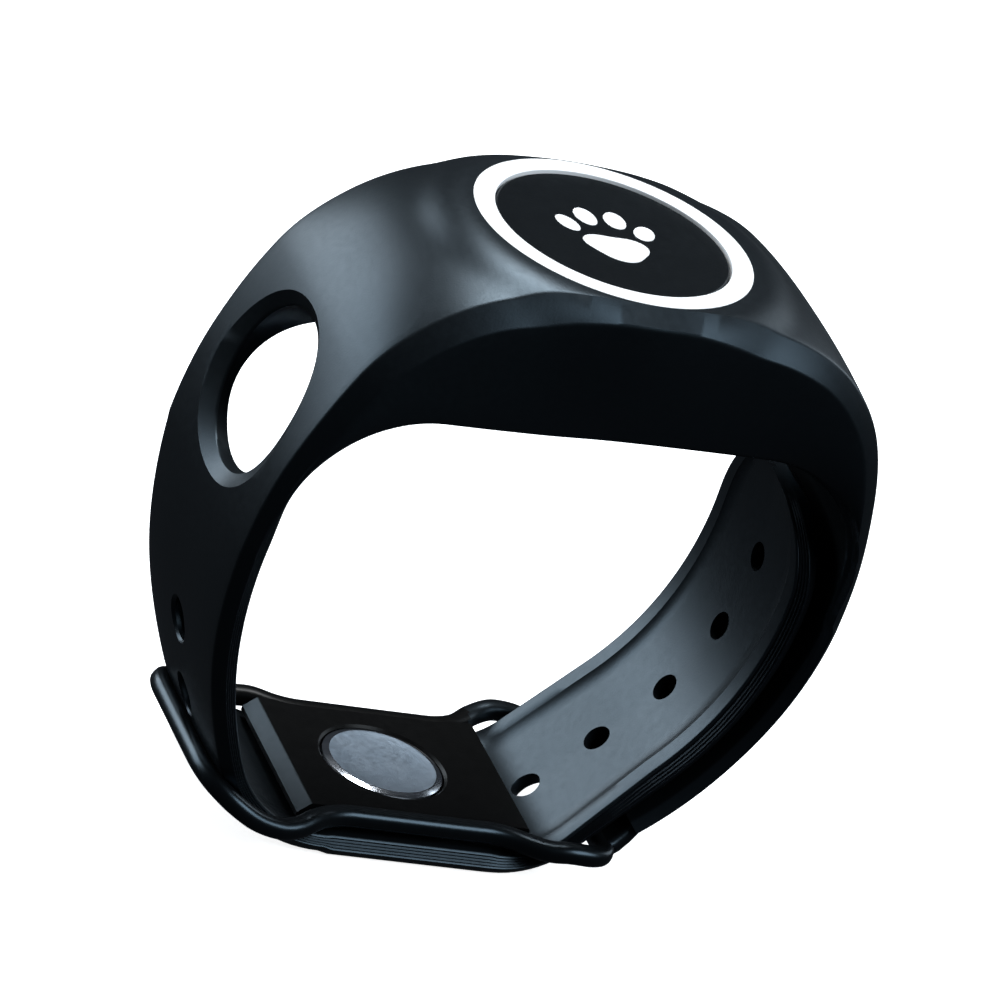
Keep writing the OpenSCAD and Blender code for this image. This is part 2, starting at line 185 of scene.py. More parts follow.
POLISHED = material("stud_polished_edge", (0.66, 0.70, 0.76), 0.16, tint_size=0.003, metallic=1.0,
                    grain=0.08, rough_range=0.05)
NYLON = material("nylon_natural", (0.70, 0.69, 0.62), 0.4, tint_size=0.003, grain=0.15)
CAPSULE = material("capsule_grey_abs", (0.035, 0.036, 0.04), 0.4, tint_size=0.004, grain=0.4,
                   grain_size=0.0003)
GASKET = material("gasket_rubber", (0.16, 0.02, 0.015), 0.6, tint_size=0.003, grain=0.3)
SPRING = material("spring_steel", (0.45, 0.47, 0.50), 0.25, tint_size=0.003, metallic=1.0, grain=0.2,
                  brushed=True)
BRASS = material("brass", (0.62, 0.43, 0.17), 0.28, tint_size=0.003, metallic=1.0, grain=0.2)
SCREW = material("screw_steel", (0.40, 0.41, 0.43), 0.3, tint_size=0.002, metallic=1.0, grain=0.2)


# ---------------------------------------------------------------- mesh helpers

def add_object(name, points, faces, mat, sharp=30):
    """Object from points in millimetres, smooth except across edges sharper than the angle."""
    mesh = bpy.data.meshes.new(name)
    mesh.from_pydata([tuple(c * MM for c in p) for p in points], [], faces)
    made = bpy.data.objects.new(name, mesh)
    bpy.context.scene.collection.objects.link(made)
    finish_mesh(made, mat, sharp)
    return made


def finish_mesh(made, mat, sharp=30):
    """Clean normals, smooth shading with sharp creases, and one material."""
    work = bmesh.new()
    work.from_mesh(made.data)
    bmesh.ops.remove_doubles(work, verts=work.verts, dist=1e-7)
    bmesh.ops.recalc_face_normals(work, faces=work.faces)
    work.to_mesh(made.data)
    work.free()
    made.data.shade_smooth()
    made.data.set_sharp_from_angle(angle=math.radians(sharp))
    made.data.materials.clear()
    made.data.materials.append(mat)


def loft(rings):
    """Points and quads through rings of the same count, with the two ends capped."""
    count = len(rings[0])
    points = [p for ring in rings for p in ring]
    faces = []
    for i in range(len(rings) - 1):
        for j in range(count):
            k = (j + 1) % count
            faces.append((i * count + j, i * count + k, (i + 1) * count + k, (i + 1) * count + j))
    faces.append(tuple(range(count))[::-1])
    faces.append(tuple((len(rings) - 1) * count + j for j in range(count)))
    return points, faces


def lathe(profile, steps=96):
    """Closed solid of revolution round Z from (radius, height) pairs that start and end on the axis."""
    points, faces = [], []
    rows = []
    for radius, height in profile:
        if radius < 1e-6:
            rows.append([len(points)])
            points.append((0, 0, height))
        else:
            rows.append(list(range(len(points), len(points) + steps)))
            for i in range(steps):
                a = 2 * math.pi * i / steps
                points.append((radius * math.cos(a), radius * math.sin(a), height))
    for low, high in zip(rows, rows[1:]):
        for i in range(steps):
            k = (i + 1) % steps
            if len(low) == 1 and len(high) == 1:
                continue
            if len(low) == 1:
                faces.append((low[0], high[k], high[i]))
            elif len(high) == 1:
                faces.append((low[i], low[k], high[0]))
            else:
                faces.append((low[i], low[k], high[k], high[i]))
    return points, faces


def ring_lathe(profile, steps=128):
    """Ring of revolution round Z whose (radius, height) section is a closed loop."""
    count = len(profile)
    points = []
    for i in range(steps):
        a = 2 * math.pi * i / steps
        points += [(r * math.cos(a), r * math.sin(a), h) for r, h in profile]
    faces = []
    for i in range(steps):
        n = (i + 1) % steps
        for j in range(count):
            k = (j + 1) % count
            faces.append((i * count + j, n * count + j, n * count + k, i * count + k))
    return points, faces


def round_corners(corners, radii, arc_points=4, limit=0.45):
    """Polyline whose inner corners are replaced by short arcs; the ends stay."""
    out = [corners[0]]
    for i in range(1, len(corners) - 1):
        here = Vector(corners[i])
        before, after = Vector(corners[i - 1]), Vector(corners[i + 1])
        radius = radii[i]
        if not radius:
            out.append(tuple(here))
            continue
        back = before - here
        ahead = after - here
        reach = min(radius, back.length * limit, ahead.length * limit)
        start, end = here + back.normalized() * reach, here + ahead.normalized() * reach
        for j in range(arc_points):
            t = j / (arc_points - 1)
            out.append(tuple((1 - t) ** 2 * start + 2 * t * (1 - t) * here + t * t * end))
    out.append(corners[-1])
    return out


def cut(target, cutters, mat, sharp=30):
    """Cuts closed solids out of a mesh for good."""
    for cutter in cutters:
        change = target.modifiers.new("cut", "BOOLEAN")
        change.operation = "DIFFERENCE"
        change.solver = "EXACT"
        change.object = cutter
    bpy.context.view_layer.update()
    graph = bpy.context.evaluated_depsgraph_get()
    result = bpy.data.meshes.new_from_object(target.evaluated_get(graph))
    target.modifiers.clear()
    target.data = result
    for cutter in cutters:
        bpy.data.objects.remove(cutter)
    finish_mesh(target, mat, sharp)


# ---------------------------------------------------------------- band profile

# The band seen from the side, in the XZ plane. Radii and turns repeat the CAD's driving dimensions.
BAND_H = cad_high.z / MM
HALF_W = cad_high.x / MM
SIDE_Z = node_box("band_head")[0].z
SIDE_R = 47.0
HEAD_FLAT = 8.8
HEAD_RISE = BAND_H - SIDE_Z
HEAD_R = ((SIDE_R + HEAD_RISE) - (HEAD_FLAT + SIDE_R - HALF_W) ** 2 / (SIDE_R - HEAD_RISE)) / 2
HEAD_TURN = math.atan2(HEAD_RISE - HEAD_R, HEAD_FLAT + SIDE_R - HALF_W)
HEAD_T = 14.2
INNER_R = 11.5
STRAP_T = 2.3
SHORT_T = 1.8
LEFT_R = 50.0
LEFT_TURN = math.radians(29)
LEFT_C = (LEFT_R - HALF_W, SIDE_Z)
BEND_R = (SIDE_Z - LEFT_R * math.sin(LEFT_TURN)) / (1 - math.sin(LEFT_TURN))
BEND_C = (LEFT_C[0] - (LEFT_R - BEND_R) * math.cos(LEFT_TURN), BEND_R)
TURN_X = 5.9
TURN_INNER_R = 7.5
TURN_R = TURN_INNER_R + STRAP_T
SLOPE = math.radians(50)
TURN_C = (TURN_X, TURN_R)
TAIL_R = 29.0
SLOPE_START = (TURN_X + TURN_INNER_R * math.sin(SLOPE), TURN_R - TURN_INNER_R * math.cos(SLOPE))
SLOPE_L = (SIDE_Z - TAIL_R * math.cos(SLOPE) - SLOPE_START[1]) / math.sin(SLOPE)
TAIL_C = (SLOPE_START[0] + SLOPE_L * math.cos(SLOPE) - TAIL_R * math.sin(SLOPE), SIDE_Z)
SHORT_R = HALF_W - TAIL_C[0]
SHORT_TURN = math.radians(48)
TAIL_TIP = math.radians(17.5)
TIP_L = 8.5
STUD_X = (node_box("stud_cap")[0].x + node_box("stud_cap")[1].x) / 2
SEAM_X = 0.5
HOLE_PITCH = 7.9
HOLE_R = 1.35
STEP_R = 2.0
HOLE_STEP = 0.9


def arc(centre, radius, start, end, count):
    """Points along an arc, both ends included; angles in radians."""
    return [(centre[0] + radius * math.cos(start + (end - start) * i / count),
             centre[1] + radius * math.sin(start + (end - start) * i / count)) for i in range(count + 1)]


def head_outer():
    """Outer line of the head, from the right side over the top to the left side."""
    right = arc((HALF_W - SIDE_R, SIDE_Z), SIDE_R, 0, HEAD_TURN, 60)
    right += arc((HEAD_FLAT, BAND_H - HEAD_R), HEAD_R, HEAD_TURN, math.pi / 2, 90)[1:]
    return right + [(-x, z) for x, z in reversed(right)]


def head_inner():
    """Inner line of the head, from the right side over the top to the left side."""
    left, right = -HALF_W + STRAP_T, HALF_W - SHORT_T
    top = BAND_H - HEAD_T
    points = [(right, SIDE_Z)] + arc((right - INNER_R, top - INNER_R), INNER_R, 0, math.pi / 2, 60)
    points += arc((left + INNER_R, top - INNER_R), INNER_R, math.pi / 2, math.pi, 60) + [(left, SIDE_Z)]
    return points


def seen_at(points, angle):
    """Point of a profile in the direction of the angle from the middle of the band's sides."""
    for a, b in zip(points, points[1:]):
        start, end = (math.atan2(p[1] - SIDE_Z, p[0]) for p in (a, b))
        if start - 1e-9 <= angle <= end + 1e-9:
            t = (angle - start) / (end - start) if end > start else 0
            return a[0] + (b[0] - a[0]) * t, a[1] + (b[1] - a[1]) * t
    return points[-1] if angle > math.pi / 2 else points[0]


# ---------------------------------------------------------------- band section

OUTER_SPAN = 12     # points across half of the outer face
INNER_SPAN = 8      # points across half of the recess in the inner face
WALL_SPAN = 8       # steps down the side wall
CROWN_SHARE = 0.93  # share of the edge's half-width where the crown hands over to the edge's rounding
BORDER = 1.75       # width of the border beside the recess in the inner face
RECESS_RUN = 0.9    # width of the recess's sloping side


def section(spec):
    """Loop of (y, depth) round the band's section: outer face, bevel, side wall, inner face with a recess.

    The side wall has ribs where rib isn't 0, and bows out elsewhere.
    """
    edge, crown, thick = spec["edge"], spec["crown"], spec["thick"]
    bevel_y, bevel_d = spec["bevel"]
    lift = spec.get("lift", 0.0)
    rib = spec["rib"]
    inner = spec["inner"]
    dip = spec["dip"]
    wide = (edge + bevel_y, lift + crown + bevel_d)
    corners = [(edge * CROWN_SHARE, lift + crown * CROWN_SHARE ** spec["power"]),
               (edge, lift + crown), wide]
    wall_end = (inner, thick - spec["foot"])
    wall = []
    for i in range(1, WALL_SPAN):
        t = i / WALL_SPAN
        groove = rib if i % 2 else 0.0
        outward = -groove if rib else spec["bow"] * 4 * t * (1 - t)
        wall.append((wide[0] + (wall_end[0] - wide[0]) * t + outward,
                     wide[1] + (wall_end[1] - wide[1]) * t))
    foot = [wall_end, (inner - spec["foot"], thick)]
    top = [(edge * CROWN_SHARE * i / OUTER_SPAN,
            lift + crown * (CROWN_SHARE * i / OUTER_SPAN) ** spec["power"]) for i in range(OUTER_SPAN)]
    round_line = round_corners(corners + [wall[0]], [0, 0.22, 0.2, 0])[:-1]
    side = top + round_line + wall
    beyond_foot = (inner - spec["foot"] - 1, thick)
    side += round_corners([wall[-1]] + foot + [beyond_foot], [0, 0.15, 0.2, 0])[1:-1]
    border = inner - spec["foot"] - BORDER
    side += [(border + 1.0, thick), (border + 0.06, thick), (border - 0.06, thick - dip * 0.2),
             (border - RECESS_RUN, thick - dip)]
    side += [((border - RECESS_RUN) * (1 - i / INNER_SPAN), thick - dip * (1 + 0.35 * (i / INNER_SPAN)))
             for i in range(1, INNER_SPAN + 1)]
    mirrored = [(-y, d) for y, d in side[-2:0:-1]]
    return side + mirrored


def sweep(stations):
    """Rings of points from stations: outer point, inward direction, and the section there."""
    rings = []
    for spec in stations:
        (x, z), (dx, dz) = spec["at"], spec["in"]
        scale = spec.get("scale", 1.0)
        drift = spec.get("drift", 0.0)
        rings.append([(x + dx * d, y * scale + drift, z + dz * d) for y, d in section(spec)])
    return rings


# Sizes along the head, keyed by the angle in degrees round the middle of the band's sides.
# Half-width of the outer face, up to the bevel
HEAD_EDGE = [(0, 11.2), (20, 12.0), (35, 12.4), (54, 12.3), (68, 12.2), (79, 12.6), (90, 13.0),
             (100, 12.6), (111, 12.1), (130, 12.1), (150, 12.3), (165, 12.1), (180, 11.9)]
# Fall of the outer face from its middle to its edge
HEAD_CROWN = [(0, 0.1), (20, 0.1), (35, 0.2), (50, 0.6), (66, 1.05), (78, 0.75), (90, 0.5),
              (102, 0.75), (115, 1.15), (130, 1.2), (142, 0.8), (155, 0.4), (165, 0.2), (180, 0.12)]
# Length of the bevel's slope
HEAD_BEVEL = [(0, 1.3), (30, 2.0), (50, 2.4), (66, 2.7), (80, 3.0), (95, 3.1), (115, 2.7),
              (130, 2.5), (150, 2.1), (163, 1.6), (180, 1.4)]
# Half-width of the inner face
HEAD_INNER = [(0, 11.3), (25, 12.0), (45, 12.0), (70, 12.3), (90, 12.7), (110, 13.4), (140, 13.9),
              (155, 13.7), (166, 13.1), (180, 12.2)]
# How far the outer face stands out from the plain arcs
HEAD_SWELL = [(0, 0.0), (20, 0.0), (35, 0.3), (50, 0.35), (62, 0.1), (72, 0.0), (100, 0.0),
              (120, -0.12), (140, -0.22), (155, -0.25), (168, -0.02), (180, 0.2)]
# Half-widths of the long strap, keyed by height
LEFT_WIDE = [(0, 10.5), (9, 10.6), (16, 11.0), (24, 11.8), (31.2, 12.55)]
# Half-widths of the short strap, keyed by the share of its length
SHORT_WIDE = [(0, 11.9), (0.3, 11.3), (0.6, 10.85), (1, 10.75)]


STRAP_BEVEL = 0.95   # how far a strap's bevel reaches in from its side
BEVEL_SHARE = 0.45   # share of a strap's thickness that the bevel takes
STRAP_RIB = 0.09     # depth of the grooves along a strap's side
TAIL_RIB = 0.2       # the same along the free tail
STRAP_DIP = 0.25     # depth of the recess in a strap's inner face
FLAT_WIDE = 10.35    # half-width of the flat run under the clasp
FLAT_EDGE = 9.6      # half-width of its outer face
BEVEL_SLOPE = 47     # degrees between the head's bevel and its outer face
BEVEL_STEEPER = 8    # added towards the short strap
HEAD_STEPS = 150
SHORT_STEPS = 34


def strap_spec(at, inward, thick, wide, **more):
    """Section of a plain strap whose widest half-width is wide."""
    spec = dict(at=at, thick=thick, edge=wide - STRAP_BEVEL, crown=0.3, power=4,
                bevel=(STRAP_BEVEL, thick * BEVEL_SHARE), inner=wide - 0.35, foot=0.2,
                rib=STRAP_RIB, dip=STRAP_DIP, bow=0)
    spec["in"] = inward
    spec.update(more)
    return spec


def flat_stations(end_x, count):
    """Stations along the flat run under the clasp, from the hidden joint towards end_x."""
    return [strap_spec((SEAM_X + (end_x - SEAM_X) * i / count, 0.0), (0, 1), STRAP_T, FLAT_WIDE,
                       crown=0.1, edge=FLAT_EDGE) for i in range(count)]


def left_stations():
    """Stations up the long strap, from the bend beside the clasp to the head."""
    stations = []
    for centre, radius, start, end, count in (
            (BEND_C, BEND_R, 1.5 * math.pi, math.pi + LEFT_TURN, 16),
            (LEFT_C, LEFT_R, math.pi + LEFT_TURN, math.pi, 28)):
        for i in range(count):
            a = start + (end - start) * i / count
            z = centre[1] + radius * math.sin(a)
            fade = smooth(SIDE_Z - 6, SIDE_Z, z)
            wide_r = radius + 0.2 * smooth(8, 22, z)
            at = (centre[0] + wide_r * math.cos(a), centre[1] + wide_r * math.sin(a))
            wide = keyed(LEFT_WIDE, z)
            stations.append(strap_spec(at, (-math.cos(a), -math.sin(a)), STRAP_T + wide_r - radius, wide,
                                       rib=STRAP_RIB * (1 - smooth(22, 30, z)), dip=STRAP_DIP * (1 - fade),
                                       crown=0.3 - 0.15 * smooth(6, 20, z),
                                       edge=wide - STRAP_BEVEL + 0.25 * smooth(6, 20, z)))
    return stations


def head_stations():
    """Stations over the head, from the left side over the top to the right side."""
    stations = []
    outer, inner = head_outer(), head_inner()
    for i in range(HEAD_STEPS + 1):
        a = math.pi * (1 - i / HEAD_STEPS)
        degrees = math.degrees(a)
        far, near = Vector(seen_at(outer, a)), Vector(seen_at(inner, a))
        inward = (near - far).normalized()
        far -= inward * keyed(HEAD_SWELL, degrees)
        size = keyed(HEAD_BEVEL, degrees)
        steep = math.radians(BEVEL_SLOPE + BEVEL_STEEPER * smooth(75, 40, degrees))
        bevel = size * math.cos(steep), size * math.sin(steep)
        thick = (near - far).length
        from_side = min(degrees, 180 - degrees)
        ends = 1 - smooth(0, 14, from_side)
        crown = keyed(HEAD_CROWN, degrees)
        if bevel[1] + crown > thick - 0.5:
            bevel = bevel[0], max(0.5, thick - 0.6 - crown)
        spec = dict(at=tuple(far), thick=thick, edge=keyed(HEAD_EDGE, degrees), crown=crown,
                    power=4 - 1.6 * smooth(4, 30, from_side), bevel=bevel,
                    inner=keyed(HEAD_INNER, degrees), foot=0.2 + 0.25 * (1 - ends), rib=0.0, dip=0.0,
                    bow=0.25 * (1 - ends))
        spec["in"] = tuple(inward)
        stations.append(spec)
    return stations


def short_stations():
    """Stations down the short strap, from the head to the clasp's tongue."""
    stations = []
    for i in range(1, SHORT_STEPS + 1):
        share = i / SHORT_STEPS
        a = -SHORT_TURN * i / SHORT_STEPS
        wide = keyed(SHORT_WIDE, share)
        grown = smooth(0, 0.3, share)
        at = (TAIL_C[0] + SHORT_R * math.cos(a), TAIL_C[1] + SHORT_R * math.sin(a))
        stations.append(strap_spec(at, (-math.cos(a), -math.sin(a)), SHORT_T, wide, rib=0.0,
                                   dip=0.12 * grown, inner=wide - 0.1, foot=0.2 + 0.3 * grown,
                                   edge=wide - 0.7, crown=0.1))
    return stations


def band_stations():
    """Stations once round the band, from the hidden joint to the end of the short strap."""
    return flat_stations(BEND_C[0], 12) + left_stations() + head_stations() + short_stations()


def tail_stations():
    """Stations along the tail, from the hidden joint through the clasp to the rounded tip."""
    stations = flat_stations(TURN_X, 6)
    for i in range(11):
        a = -math.pi / 2 + SLOPE * i / 11
        stations.append(strap_spec((TURN_C[0] + TURN_R * math.cos(a), TURN_C[1] + TURN_R * math.sin(a)),
                                   (-math.cos(a), -math.sin(a)), STRAP_T, 10.5, crown=0.1 + 0.2 * i / 11))
    normal = (-math.sin(SLOPE), math.cos(SLOPE))
    start = (SLOPE_START[0] - normal[0] * STRAP_T, SLOPE_START[1] - normal[1] * STRAP_T)
    for i in range(10):
        s = SLOPE_L * i / 10
        at = (start[0] + s * math.cos(SLOPE), start[1] + s * math.sin(SLOPE))
        stations.append(strap_spec(at, normal, STRAP_T, 10.5 + 0.15 * i / 10, drift=0.3 * i / 10,
                                   rib=TAIL_RIB, dip=STRAP_DIP + 0.12 * i / 10, inner=10.15 - 0.5 * i / 10))
    out_r = TAIL_R + STRAP_T
    tip_start = TAIL_TIP - TIP_L / TAIL_R
    begin = SLOPE - math.pi / 2
    places = [(begin + (tip_start - begin) * i / 28, 1.0, 0.0) for i in range(28)]
    for i in range(25):
        phi = math.pi / 2 * i / 24.6
        places.append((tip_start + TIP_L * math.sin(phi) / TAIL_R, math.cos(phi),
                       0.8 * smooth(0.85, 1, math.sin(phi))))
    for a, scale, lift in places:
        along = smooth(begin, 0.2, a)
        wide = 10.65 + 0.35 * along
        at = (TAIL_C[0] + out_r * math.cos(a), TAIL_C[1] + out_r * math.sin(a))
        stations.append(strap_spec(at, (-math.cos(a), -math.sin(a)), STRAP_T, wide, scale=scale, lift=lift,
                                   drift=0.3 + 0.4 * along, rib=TAIL_RIB, inner=wide - 1.0, dip=0.37,
                                   bevel=(STRAP_BEVEL, STRAP_T * BEVEL_SHARE * (1 - 0.7 * lift)),
                                   crown=0.3 * (1 - lift)))
    return stations


def strap_place(s):
    """Inner-face point and outward angle at length s from the stud along the strap's middle."""
    mid = STRAP_T / 2
    side = 1 if s >= 0 else -1
    s = abs(s)
    if side > 0:
        runs = [("flat", TURN_X - STUD_X), ("arc", TURN_C, TURN_R, 1.5 * math.pi, SLOPE),
                ("line", SLOPE_L), ("arc", TAIL_C, TAIL_R + STRAP_T, 1.5 * math.pi + SLOPE, 2.0)]
    else:
        runs = [("flat", STUD_X - BEND_C[0]),
                ("arc", BEND_C, BEND_R, 1.5 * math.pi, LEFT_TURN - math.pi / 2),
                ("arc", LEFT_C, LEFT_R, math.pi + LEFT_TURN, -2.0)]
    for run in runs:
        if run[0] == "flat":
            if s < run[1]:
                return (STUD_X + side * s, STRAP_T), 1.5 * math.pi
            s -= run[1]
        elif run[0] == "line":
            if s < run[1]:
                return ((SLOPE_START[0] + s * math.cos(SLOPE), SLOPE_START[1] + s * math.sin(SLOPE)),
                        1.5 * math.pi + SLOPE)
            s -= run[1]
        else:
            length = (run[2] - mid) * abs(run[4])
            if s < length:
                a = run[3] + run[4] * s / length
                r = run[2] - STRAP_T
                return (run[1][0] + r * math.cos(a), run[1][1] + r * math.sin(a)), a
            s -= length
    raise ValueError("past the strap's end")


def hole_cutter(number):
    """Stepped round cutter for a sizing hole, with small roundings at both faces."""
    (x, z), angle = strap_place(number * HOLE_PITCH)
    step = STRAP_T - HOLE_STEP
    profile = [(0, -3), (2.2, -3), (1.50, 0.12), (1.40, 0.3), (HOLE_R, 0.5), (HOLE_R, step), (1.9, step),
               (STEP_R, step + 0.1), (STEP_R, STRAP_T - 0.2), (2.12, STRAP_T - 0.02),
               (2.6, STRAP_T + 0.45), (2.6, STRAP_T + 2), (0, STRAP_T + 2)]
    points, faces = lathe(profile, 40)
    out = Vector((math.cos(angle), 0, math.sin(angle)))
    turn = Vector((0, 0, 1)).rotation_difference(out).to_matrix()
    placed = [turn @ Vector(p) + Vector((x, 0, z)) for p in points]
    return add_object(f"hole_{number}", placed, faces, SILICONE)


def oval_cutter():
    """Cutter for the oval opening: a straight hole with a chamfered rim that follows the band's curve.

    Each row of the rim has the height over the outer face, and the half-length and half-width there.
    """
    centre, tilt = Vector((-28.4, 0, 41.2)), math.radians(13)
    out = Vector((-math.cos(tilt), 0, math.sin(tilt)))
    along = Vector((-math.sin(tilt), 0, -math.cos(tilt)))
    rings = []
    rim = [(-22, 8.0, 6.6), (-2.5, 8.0, 6.6), (-1.7, 7.95, 6.9), (-1.05, 7.85, 7.1), (-0.92, 7.9, 7.2),
           (-0.8, 8.05, 7.4), (0.05, 9.1, 9.0), (0.9, 10.15, 10.6), (9, 10.6, 10.8)]
    steps = 72
    power = 2 / 2.12   # a little squarer than an ellipse
    across_r = 150.0
    for height, half_length, half_width in rim:
        ring = []
        depth = smooth(-1.0, -2.5, height)
        shift = Vector((0, -0.25 + 0.65 * depth, 0)) - along * 0.3 * depth
        for i in range(steps):
            a = 2 * math.pi * i / steps
            u = math.copysign(abs(math.cos(a)) ** power, math.cos(a)) * half_length
            v = math.copysign(abs(math.sin(a)) ** power, math.sin(a)) * half_width
            fall = u * u / (2 * SIDE_R) + v * v / (2 * across_r) if abs(height) < 3 else 0
            ring.append(tuple(centre + out * (height - fall) + along * u + Vector((0, v, 0)) + shift))
        rings.append(ring)
    return add_object("oval_cutter", *loft(rings), SILICONE)


def head_cutter():
    """Cutter for the ring's seat, the capsule's pocket and the round opening under it."""
    ring = node_box("ring_bezel")
    cap = node_box("capsule_base")
    ring_r, cap_r = ring[1].x + 0.02, cap[1].x + 0.02
    opening_r = 10.0
    pocket_floor = BAND_H - 13.2
    below, above = 40, 70
    profile = [(0, below), (opening_r, below), (opening_r, pocket_floor), (cap_r, pocket_floor),
               (cap_r, ring[0].z), (ring_r, ring[0].z), (ring_r, above), (0, above)]
    return add_object("head_cutter", *lathe(profile, 160), SILICONE)


def flat_seat(points):
    """Draws the head's top level with the ring around it."""
    flat_r, free_r = 13.0, 18.0
    low_z, high_z = 56.0, 59.0
    ring_proud = 0.04
    out = []
    for x, y, z in points:
        level = (1 - smooth(flat_r, free_r, math.hypot(x, y))) * smooth(low_z, high_z, z)
        z += (BAND_H - ring_proud - z) * level
        out.append((x, y, z))
    return out


band_rings = sweep(band_stations())
band_points, band_faces = loft(band_rings)
band = add_object("silicone_band", flat_seat(band_points), band_faces, SILICONE)
cut(band, [head_cutter(), oval_cutter()] + [hole_cutter(n) for n in range(-4, 1)], SILICONE, 28)
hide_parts("band_head", "left_strap", "underpass_strap", "short_strap")
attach(band, "band")

tail = add_object("silicone_tail", *loft(sweep(tail_stations())), SILICONE)
cut(tail, [hole_cutter(n) for n in range(1, 7)], SILICONE, 28)
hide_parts("strap_tail")
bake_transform(tail)

# ---------------------------------------------------------------- clasp

PANEL_TOP = node_box("stud_cap")[0].z + 1.0
PANEL_LEFT = -13.1
CLASP_T = 1.7
CLASP_LEFT, CLASP_RIGHT = -24.9, 16.6
LEFT_LOOP, PANEL_HALF, RIGHT_LOOP = 12.8, 9.85, 13.1   # half-widths
LOOP_NARROWING = 0.12
RIM_W = 2.0
RIM_H = 1.85
# Height of the clasp's middle over the panel's underside, keyed by x
CLASP_MID = [(CLASP_LEFT, 3.65), (-24.0, 3.25), (-23.0, 2.75), (-21.3, 1.9), (-19, 0.9), (-16.5, 0.42),
             (-14.6, 0.55), (PANEL_LEFT, 0.85), (-11, 0.85), (7.0, 0.85), (9.5, 1.15), (11.5, 1.55),
             (13.8, 1.45), (15.2, 1.3), (CLASP_RIGHT, 1.35)]


def clasp_frame(x):
    """Height of the clasp's middle at x and its lean there, in radians."""
    rise = (keyed(CLASP_MID, x + 0.1) - keyed(CLASP_MID, x - 0.1)) / 0.2
    return PANEL_TOP - CLASP_T + keyed(CLASP_MID, x), math.atan(rise)


def rim_path():
    """Middle line of the clasp's rounded rim, once round, evenly spaced."""
    inset = RIM_W / 2
    left, right = CLASP_LEFT + inset, CLASP_RIGHT - inset
    left_y, panel_y, right_y = LEFT_LOOP - inset, PANEL_HALF - inset, RIGHT_LOOP - inset
    corners = [(left, 0), (left, left_y), (-15.4, left_y), (-10.8, panel_y),
               (6.2, panel_y), (10.2, right_y), (right, right_y), (right, 0)]
    half = round_corners(corners, [0, 6.0, 2.0, 2.2, 2.2, 2.0, 3.0, 0], 14, 0.7)
    fine = []
    for a, b in zip(half, half[1:]):
        steps = max(1, int(math.dist(a, b) / 0.35))
        fine += [(a[0] + (b[0] - a[0]) * k / steps, a[1] + (b[1] - a[1]) * k / steps)
                 for k in range(steps)]
    fine.append(half[-1])
    # the left loop is a little narrower on the +Y side
    far = [(x, y * (1 - LOOP_NARROWING * smooth(-12, -19, x))) for x, y in fine]
    return far + [(x, -y) for x, y in reversed(fine[1:-1])]


def rim_tube():
    """Closed rod of rounded section along the rim."""
    line = rim_path()
    count = len(line)
    around = 20
    points = []
    for i, (x, y) in enumerate(line):
        z, lean = clasp_frame(x)
        ahead, behind = line[(i + 1) % count], line[i - 1]
        z_ahead, z_behind = clasp_frame(ahead[0])[0], clasp_frame(behind[0])[0]
        run = Vector((ahead[0] - behind[0], ahead[1] - behind[1], z_ahead - z_behind)).normalized()
        up = Vector((-math.sin(lean), 0, math.cos(lean)))
        side = run.cross(up).normalized()
        for k in range(around):
            a = 2 * math.pi * k / around
            u = math.copysign(abs(math.cos(a)) ** 0.8, math.cos(a)) * RIM_W / 2
            w = math.copysign(abs(math.sin(a)) ** 0.8, math.sin(a)) * RIM_H / 2
            points.append(Vector((x, y, z)) + side * u + up * w)
    faces = []
    for i in range(count):
        n = (i + 1) % count
        for k in range(around):
            m = (k + 1) % around
            faces.append((i * around + k, i * around + m, n * around + m, n * around + k))
    return points, faces


def panel_block():
    """Centre panel with a chamfer along its left edge."""
    top, base = PANEL_TOP - 0.02, PANEL_TOP - CLASP_T + 0.05
    side = [(-14.25, base + 0.05), (-14.35, base + 0.2), (-14.3, top - 1.05), (-14.22, top - 0.98),
            (-13.2, top - 0.04), (PANEL_LEFT, top), (8.35, top), (8.5, top - 0.15), (8.5, base + 0.1),
            (8.4, base)]
    half_w = PANEL_HALF - RIM_W / 2
    rings = [[(x, y, z) for x, z in side] for y in (-half_w, half_w)]
    return loft(rings)


clasp = add_object("clasp_plate_rounded", *rim_tube(), PLATE, 50)
# The far side of the rim, over the left loop and beside the panel, takes the panel's darker, duller
# material: painted shade that keeps highlights off the far edge
clasp.data.materials.append(PANEL_AND_RIM_SHADE)
for face in clasp.data.polygons:
    if face.center.y > 0.007 and -0.021 < face.center.x < 0.0085:
        face.material_index = 1
panel = add_object("clasp_panel", *panel_block(), PANEL_AND_RIM_SHADE, 20)
seat_profile = [(0, PANEL_TOP - 1), (5.95, PANEL_TOP - 1), (5.95, PANEL_TOP - 0.25),
                (6.15, PANEL_TOP - 0.05), (6.6, PANEL_TOP + 0.4), (6.6, 9), (0, 9)]
seat = add_object("stud_seat_cutter", *lathe(seat_profile, 96), PLATE)
seat.data.transform(Matrix.Translation((STUD_X * MM, 0, 0)))
cut(panel, [seat], PANEL_AND_RIM_SHADE, 20)
panel.data.materials.append(PLATE_EDGE)
for face in panel.data.polygons:
    if face.center.x < PANEL_LEFT * MM and face.normal.z > 0.3:
        face.material_index = 1
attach(panel, "band")
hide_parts("clasp_plate")
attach(clasp, "band")


